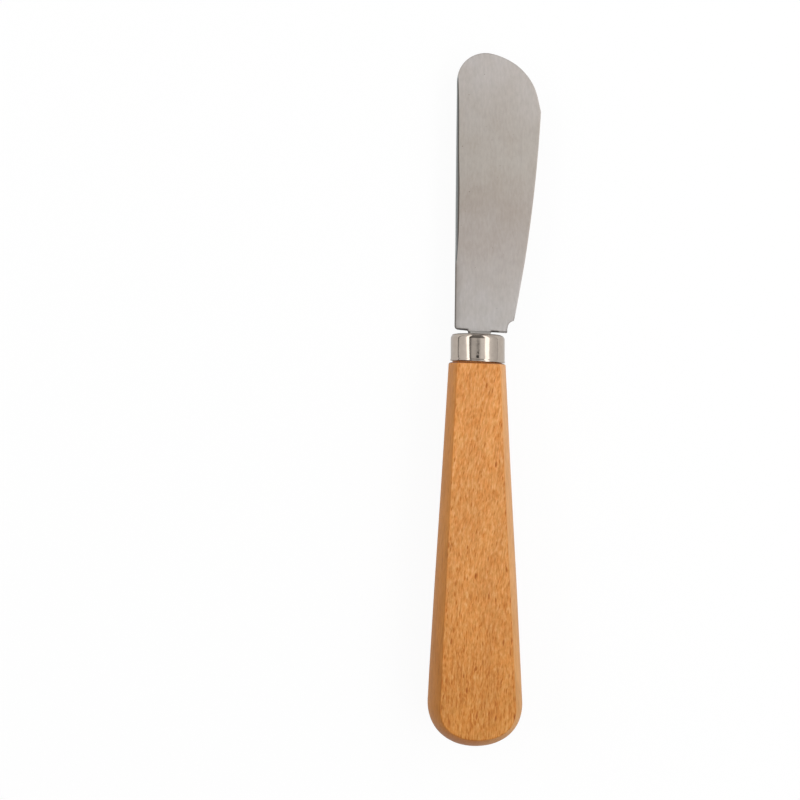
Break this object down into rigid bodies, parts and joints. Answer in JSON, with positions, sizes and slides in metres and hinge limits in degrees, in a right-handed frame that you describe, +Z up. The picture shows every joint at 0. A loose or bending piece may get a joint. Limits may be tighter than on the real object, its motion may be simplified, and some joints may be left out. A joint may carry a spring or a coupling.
{
  "type": "butter knife",
  "caption": "Small butter knife or spreader: rounded steel blade with a notched heel, polished ferrule and tapered beech handle with flat faces.",
  "frame": {"origin": "middle of the knife's length and width, at the level of the flat that it lies on", "axes": "+Y from the tail of the handle to the tip of the blade, +X towards the cutting edge, +Z up, out of the front flat"},
  "size_m": [0.0238, 0.1502, 0.0147],
  "materials": {
    "brushed_stainless_steel": "satin, ground lengthwise",
    "polished_metal": "mirror polished",
    "oiled_beech": "sanded and oiled, low satin",
    "epoxy": "hardened, amber"
  },
  "bodies": {
    "root": {"blade": "brushed_stainless_steel", "ferrule": "polished_metal", "handle": "oiled_beech", "adhesive": "epoxy"}
  },
  "joints": []
}
